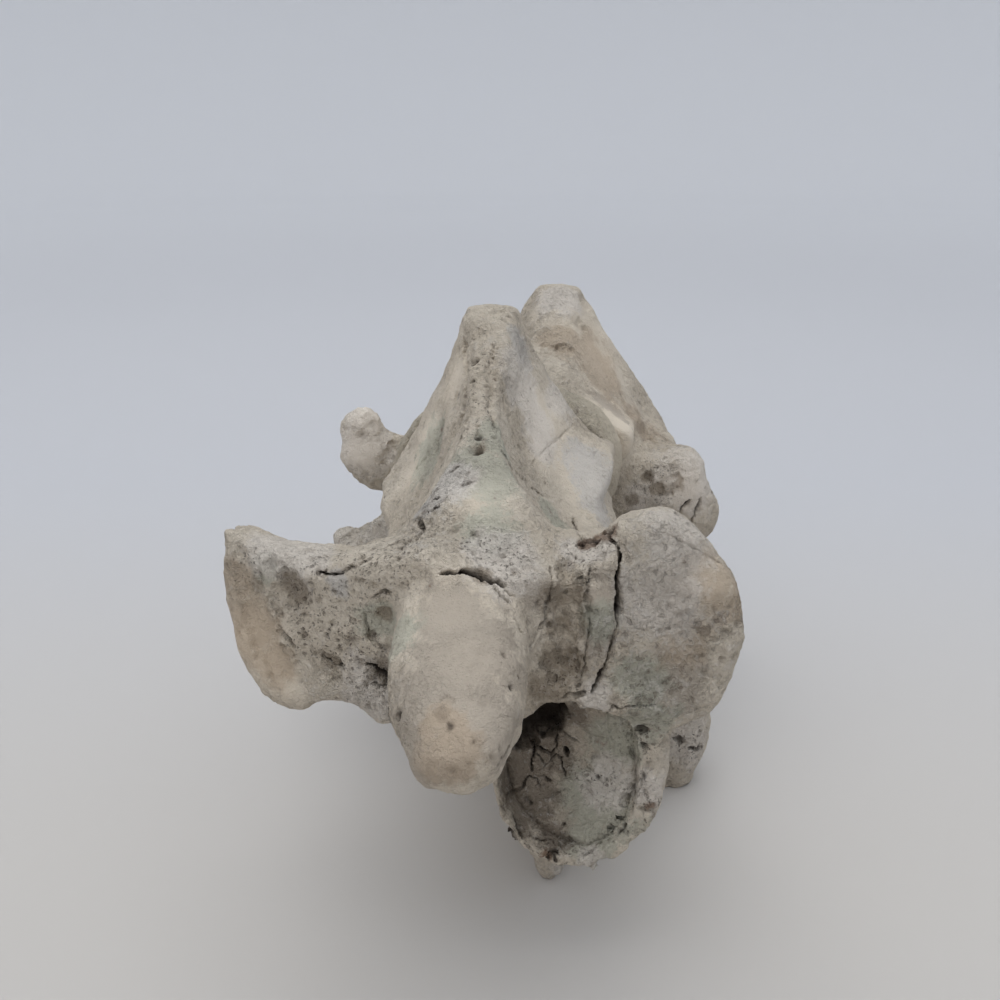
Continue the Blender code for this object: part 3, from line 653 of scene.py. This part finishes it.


# %% [markdown]
# ## Weather
# Relief that follows a rule is a job for Geometry Nodes. The tree moves each point along its normal:
# low lumps everywhere, a finer roughness that fades where the bone is smooth, and pores, which are
# the cells of a Voronoi pattern, sunk only where the bone is porous. It also notes each pore and each
# low place, so that the finish can paint shade into them.

# %% The weather tree
WEATHER_INPUTS = {"Lump size": 6.0, "Lump height": 0.55, "Chip size": 3.2, "Chip height": 0.45,
                  "Rough size": 1.2, "Rough height": 0.50, "Pore size": 0.80, "Pore depth": 0.60,
                  "Rag height": 1.10, "Vein size": 10.0, "Vein depth": 0.45}
PLAIN_POROUS = 0.5       # how porous the bone is where no patch says so, at most
MOST_TRIANGLES = 196000  # a skin with more is thinned to this


def weather_tree():
    tree = bpy.data.node_groups.new("weather", "GeometryNodeTree")
    tree.interface.new_socket("Geometry", in_out="INPUT", socket_type="NodeSocketGeometry")
    for name, value in WEATHER_INPUTS.items():
        socket = tree.interface.new_socket(name, in_out="INPUT", socket_type="NodeSocketFloat")
        socket.default_value = value
    tree.interface.new_socket("Seed", in_out="INPUT", socket_type="NodeSocketFloat")
    tree.interface.new_socket("Material", in_out="INPUT", socket_type="NodeSocketMaterial")
    tree.interface.new_socket("Geometry", in_out="OUTPUT", socket_type="NodeSocketGeometry")
    given = add(tree, "NodeGroupInput").outputs

    def named(name):
        node = add(tree, "GeometryNodeInputNamedAttribute", {"data_type": "FLOAT"}, Name=name)
        return node.outputs["Attribute"]

    def per_metre(name, share=1.0):
        return maths(tree, "DIVIDE", 1 / MM / share, given[name])

    def about_zero(value, height):
        return maths(tree, "MULTIPLY", maths(tree, "SUBTRACT", value, 0.5), height)

    shift = add(tree, "ShaderNodeCombineXYZ", X=given["Seed"], Y=0.31, Z=0.17).outputs[0]
    position = add(tree, "GeometryNodeInputPosition").outputs[0]
    place = add(tree, "ShaderNodeVectorMath", {"operation": "ADD"}, i0=position, i1=shift).outputs[0]
    bent = add(tree, "ShaderNodeVectorMath", {"operation": "MULTIPLY_ADD"},
               i0=add(tree, "ShaderNodeTexNoise", Vector=place, Scale=600.0, Detail=2.0).outputs["Color"],
               i1=(0.0011, 0.0011, 0.0011), i2=place).outputs[0]
    lumps = add(tree, "ShaderNodeTexNoise", Vector=place, Scale=per_metre("Lump size"),
                Detail=2.0).outputs[0]
    chips = add(tree, "ShaderNodeTexVoronoi", Vector=bent, Scale=per_metre("Chip size")).outputs["Distance"]
    rough = add(tree, "ShaderNodeTexNoise", Vector=bent, Scale=per_metre("Rough size"), Detail=5.0,
                Roughness=0.66).outputs[0]
    wild = add(tree, "ShaderNodeTexNoise", Vector=place, Scale=130.0, Detail=2.0).outputs[0]
    calm = maths(tree, "SUBTRACT", 1.0, maths(tree, "MULTIPLY", named("smooth"), 0.75))
    porous = maths(tree, "MAXIMUM", named("porous"), fade(tree, wild, 0.48, 0.6, 0.0, PLAIN_POROUS))
    porous = maths(tree, "MULTIPLY", porous, calm)
    pores = []
    for share in (1.0, 1.9):
        cells = add(tree, "ShaderNodeTexVoronoi", Vector=bent, Scale=per_metre("Pore size", share)).outputs
        lucky = add(tree, "ShaderNodeSeparateXYZ", Vector=cells["Color"]).outputs[0]
        lucky = fade(tree, lucky, 0.45 if share == 1.0 else 0.75, 0.85)
        pores.append(maths(tree, "MULTIPLY", fade(tree, cells["Distance"], 0.45, 0.15), lucky))
    pore = maths(tree, "MULTIPLY", maths(tree, "MAXIMUM", *pores), porous)
    height = about_zero(lumps, given["Lump height"])
    height = maths(tree, "ADD", height, about_zero(chips, given["Chip height"]))
    height = maths(tree, "ADD", height, about_zero(rough, given["Rough height"]))
    height = maths(tree, "MULTIPLY", height, calm)
    rags = maths(tree, "MULTIPLY", about_zero(rough, given["Rag height"]), named("ragged"))
    height = maths(tree, "ADD", height, rags)
    height = maths(tree, "SUBTRACT", height, maths(tree, "MULTIPLY", pore, given["Pore depth"]))

    # The sides that the picture hides: a net of broken cracks and three kinds of stain.
    drift = add(tree, "ShaderNodeTexNoise", Vector=place, Scale=75.0, Detail=3.0).outputs["Color"]
    drift = add(tree, "ShaderNodeSeparateXYZ", Vector=drift).outputs
    wavy = add(tree, "ShaderNodeTexNoise", Vector=place, Scale=260.0, Detail=4.0).outputs["Color"]
    wavy = add(tree, "ShaderNodeVectorMath", {"operation": "MULTIPLY_ADD"}, i0=wavy,
               i1=(0.006, 0.006, 0.006), i2=place).outputs[0]
    net = add(tree, "ShaderNodeTexVoronoi", {"feature": "DISTANCE_TO_EDGE"}, Vector=wavy,
              Scale=per_metre("Vein size")).outputs["Distance"]
    vein = maths(tree, "MULTIPLY", fade(tree, net, 0.035, 0.005), fade(tree, wild, 0.47, 0.53))
    vein = maths(tree, "MULTIPLY", vein, named("hidden"))
    height = maths(tree, "SUBTRACT", height, maths(tree, "MULTIPLY", vein, given["Vein depth"]))
    outwards = add(tree, "GeometryNodeInputNormal").outputs[0]
    offset = add(tree, "ShaderNodeVectorMath", {"operation": "SCALE"}, i0=outwards,
                 Scale=maths(tree, "MULTIPLY", height, MM)).outputs[0]
    moved = add(tree, "GeometryNodeSetPosition", Geometry=given["Geometry"], Offset=offset).outputs[0]
    # pore and low mark where the finish paints shade.
    kept = {"pore": pore, "low": fade(tree, height, 0.05, -0.25)}
    # The vein cracks are painted dark as shade, like the carved cracks.
    kept["shade"] = maths(tree, "MAXIMUM", named("shade"), vein)
    for stain, amount in zip(("tan", "green", "mud"), drift):
        slow = maths(tree, "MULTIPLY", fade(tree, amount, 0.53, 0.66), named("hidden"))
        kept[stain] = maths(tree, "MAXIMUM", named(stain), slow)
    for name, value in kept.items():
        moved = add(tree, "GeometryNodeStoreNamedAttribute", {"data_type": "FLOAT", "domain": "POINT"},
                    Geometry=moved, Name=name, Value=value).outputs[0]
    whole = add(tree, "GeometryNodeRealizeInstances", Geometry=moved).outputs[0]
    dressed = add(tree, "GeometryNodeSetMaterial", Geometry=whole, Material=given["Material"]).outputs[0]
    add(tree, "NodeGroupOutput", Geometry=dressed)
    return tree


def weathered(item, tree, finish, seed, **sizes):
    """Runs the weather tree over a skin, then thins its grid where it is flat."""
    item.data.materials.clear()
    change = item.modifiers.new("weather", "NODES")
    change.node_group = tree
    sockets = {s.name: s.identifier for s in tree.interface.items_tree if s.in_out == "INPUT"}
    change[sockets["Seed"]] = float(seed)
    change[sockets["Material"]] = finish
    for name, value in sizes.items():
        change[sockets[name.replace("_", " ").capitalize()]] = float(value)
    settled(item)
    item.data.calc_loop_triangles()
    count = len(item.data.loop_triangles)
    if count > MOST_TRIANGLES:
        thin = item.modifiers.new("thin", "DECIMATE")
        thin.ratio = MOST_TRIANGLES / count
        thin.use_collapse_triangulate = True
        settled(item)
    item.data.polygons.foreach_set("use_smooth", [True] * len(item.data.polygons))
    print(f"{item.name}: {count} triangles, kept {min(count, MOST_TRIANGLES)}")


# %% [markdown]
# ## Finishes
# Fossil bone is bone whose pores have filled with minerals. Its face is chalky: it scatters light in
# all directions and hardly shines. Its base is a warm pale grey, and each stain has a colour of its
# own that is laid over it where a patch says so, with an uneven edge. The mud that sticks to it is the
# same grain as the clay it came from, darker and just as dull.

# %% Bone
# Each stain's colour and how much of it shows where a patch is full, laid on in this order. The bluish one
# is painted light, the pale one is partly painted light, and the greyer and the dark one are partly painted
# shade.
STAINS = {"greyer_and_shade": ("#BFB3A4", 0.90), "green": ("#C2C3B2", 0.65), "blue": ("#DAD7D4", 0.60),
          "tan": ("#C4AF97", 0.60), "pale": ("#F3EADF", 0.75), "mud": ("#A39481", 0.75),
          "dark": ("#8A7E70", 0.85), "rust": ("#8A6B54", 0.75)}


def finish_of(name, base, second, roughness, grit=1.0):
    """A dull mineral finish: mottled base, stains with broken edges, fine relief, painted shade in the
    pores and lows, and a painted highlight on the highs.
    """
    made = bpy.data.materials.new(name)
    made.use_nodes = True
    tree = made.node_tree
    tree.nodes.clear()
    place = add(tree, "ShaderNodeTexCoord").outputs["Object"]

    def mix(share, one, two):
        return add(tree, "ShaderNodeMix", {"data_type": "RGBA"}, i0=share, i6=one, i7=two).outputs[2]

    def named(name):
        return add(tree, "ShaderNodeAttribute", {"attribute_name": name}).outputs["Fac"]

    def grain(size, detail=4.0, rough=0.6, vector=place):
        return add(tree, "ShaderNodeTexNoise", Vector=vector, Scale=1 / (size * MM), Detail=detail,
                   Roughness=rough)

    def about_zero(value, height):
        return maths(tree, "MULTIPLY", maths(tree, "SUBTRACT", value, 0.5), height)

    bent = add(tree, "ShaderNodeVectorMath", {"operation": "MULTIPLY_ADD"}, i2=place,
               i0=grain(0.8, 3.0).outputs["Color"], i1=(0.0008, 0.0008, 0.0008)).outputs[0]
    cloud = grain(9, 3.0).outputs[0]
    mottle = grain(2.2, 5.0, 0.65).outputs[0]
    speck = grain(0.35, 3.0).outputs[0]
    calm = maths(tree, "SUBTRACT", 1.0, maths(tree, "MULTIPLY", named("smooth"), 0.8))

    # Relief: worn crust, flaky streaks where the grain is open, fine crevices and round pores.
    crust = about_zero(grain(0.85, 5.0, 0.66, vector=bent).outputs[0], 1.3)
    grit_height = about_zero(grain(0.20, 4.0, 0.6).outputs[0], 0.22)
    edges = add(tree, "ShaderNodeTexNoise", {"noise_type": "RIDGED_MULTIFRACTAL"}, Vector=bent,
                Scale=1 / (1.1 * MM), Detail=4.0, Roughness=0.6, Offset=1.0, Gain=2.0).outputs[0]
    flaky = maths(tree, "MULTIPLY", named("grain"), 0.8)
    flaky = maths(tree, "ADD", flaky, fade(tree, cloud, 0.45, 0.60, 0.2, 0.5))
    flakes = maths(tree, "SUBTRACT", edges, 1.25)
    flakes = maths(tree, "MULTIPLY", flakes, maths(tree, "MULTIPLY", flaky, 0.38))
    open_bone = maths(tree, "MULTIPLY", named("porous"), 0.8)
    open_bone = maths(tree, "ADD", open_bone, fade(tree, cloud, 0.42, 0.62, 0.15, 0.4))
    holes = []
    for size, least in ((0.55, 0.50), (0.28, 0.48)):
        cells = add(tree, "ShaderNodeTexVoronoi", Vector=bent, Scale=1 / (size * MM)).outputs
        lucky = add(tree, "ShaderNodeSeparateXYZ", Vector=cells["Color"]).outputs[0]
        lucky = fade(tree, lucky, least, least + 0.12)
        holes.append(maths(tree, "MULTIPLY", fade(tree, cells["Distance"], 0.33, 0.20), lucky))
    hole = maths(tree, "MULTIPLY", maths(tree, "MAXIMUM", *holes), open_bone)
    hole = maths(tree, "MULTIPLY", hole, calm)
    rift = maths(tree, "MULTIPLY", fade(tree, edges, 0.95, 0.55), calm)
    rift = maths(tree, "MULTIPLY", rift, flaky)
    height = maths(tree, "MULTIPLY", maths(tree, "ADD", crust, flakes), calm)
    height = maths(tree, "ADD", height, grit_height)
    height = maths(tree, "SUBTRACT", height, maths(tree, "MULTIPLY", hole, 0.34))

    # Colour: two shades of base, each stain over it, then painted shade in the lows, pores and crevices, a
    # painted highlight on the highs, and painted near-black shade inside the carved cracks and pits.
    colour = mix(fade(tree, cloud, 0.38, 0.62), linear(base), linear(second))
    for stain, (code, strength) in STAINS.items():
        edge = maths(tree, "ADD", named(stain), about_zero(mottle, 1.8))
        edge = maths(tree, "ADD", edge, about_zero(speck, 0.5))
        colour = mix(fade(tree, edge, 0.20, 0.72, 0.0, strength), colour, linear(code))
    colour = mix(fade(tree, mottle, 0.5, 0.7, 0.0, 0.18), colour, linear("#B9AE9E"))
    # Painted shade: the low places, the pores and the crevices of the flaky grain are darkened as if in
    # shade.
    shade_in_lows = fade(tree, height, -0.06, -0.45, 0.0, 0.45)
    shade_in_lows = maths(tree, "MAXIMUM", shade_in_lows, maths(tree, "MULTIPLY", named("low"), 0.10))
    pores = maths(tree, "MAXIMUM", hole, named("pore"))
    shade_in_lows = maths(tree, "MAXIMUM", shade_in_lows, maths(tree, "MULTIPLY", pores, 0.62))
    shade_in_lows = maths(tree, "MAXIMUM", shade_in_lows, maths(tree, "MULTIPLY", rift, 0.48))
    colour = mix(shade_in_lows, colour, linear("#6A5E52"))
    # Painted highlight: the raised places are lightened as if catching the light.
    colour = mix(fade(tree, height, 0.06, 0.34, 0.0, 0.40), colour, linear("#EAE3DA"))
    # Painted shade, near black, inside the carved cracks and pits.
    colour = mix(fade(tree, named("shade"), 0.15, 0.9, 0.0, 0.95), colour, linear("#332A22"))
    bump = add(tree, "ShaderNodeBump", Strength=1.0, Distance=MM * grit, Height=height)
    shader = add(tree, "ShaderNodeBsdfPrincipled", Base_Color=colour, Roughness=roughness,
                 Normal=bump.outputs[0])
    shader.inputs["Specular IOR Level"].default_value = 0.3
    add(tree, "ShaderNodeOutputMaterial", Surface=shader.outputs[0])
    return made


bone_finish = finish_of("chalky_fossil_bone", "#E9DDCB", "#DFD2BF", 0.9)
mud_finish = finish_of("dried_mudstone", "#D2C5B3", "#C6BAA8", 0.95)
pale_mud_finish = finish_of("pale_mudstone", "#DDD1BD", "#D0C5B1", 0.95)

# %% Paper
paper_finish = bpy.data.materials.new("matt_paper")
paper_finish.use_nodes = True
tree = paper_finish.node_tree
tree.nodes.clear()
paper_place = add(tree, "ShaderNodeTexCoord").outputs["Object"]
axes = add(tree, "ShaderNodeSeparateXYZ", Vector=paper_place).outputs
away = add(tree, "ShaderNodeVectorMath", {"operation": "LENGTH"}, i0=paper_place).outputs["Value"]
# Painted warm bounce light: the paper in front of the fossil, towards the camera, is tinted warmer.
warm_bounce_side = fade(tree, axes["Y"], 0.12, -0.04)
paper_colour = add(tree, "ShaderNodeMix", {"data_type": "RGBA"}, i0=warm_bounce_side, i6=linear("#C7C8CC"),
                   i7=linear("#CBC7C2")).outputs[2]
far_side = fade(tree, away, 0.35, 1.0)
paper_colour = add(tree, "ShaderNodeMix", {"data_type": "RGBA"}, i0=far_side, i6=paper_colour,
                   i7=linear("#DFE0E3")).outputs[2]
fibre = add(tree, "ShaderNodeTexNoise", Vector=paper_place, Scale=900.0, Detail=4.0)
paper_bump = add(tree, "ShaderNodeBump", Strength=0.05, Distance=0.0002, Height=fibre.outputs[0])
paper_shader = add(tree, "ShaderNodeBsdfPrincipled", Base_Color=paper_colour, Roughness=0.75,
                   Normal=paper_bump.outputs[0])
add(tree, "ShaderNodeOutputMaterial", Surface=paper_shader.outputs[0])
paper.data.materials.clear()
paper.data.materials.append(paper_finish)

# %% Weather and finish on every skin
tree = weather_tree()
weathered(axis, tree, bone_finish, 0)
weathered(third, tree, bone_finish, 1)
weathered(canal_rock, tree, mud_finish, 2)
weathered(joint_rock, tree, pale_mud_finish, 3, lump_height=0.9)
weathered(rear_rock, tree, pale_mud_finish, 4)

# %% Join to the body and finish
for item in (axis, third):
    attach(item, "root")
for item in (canal_rock, joint_rock, rear_rock):
    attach(item, "root")
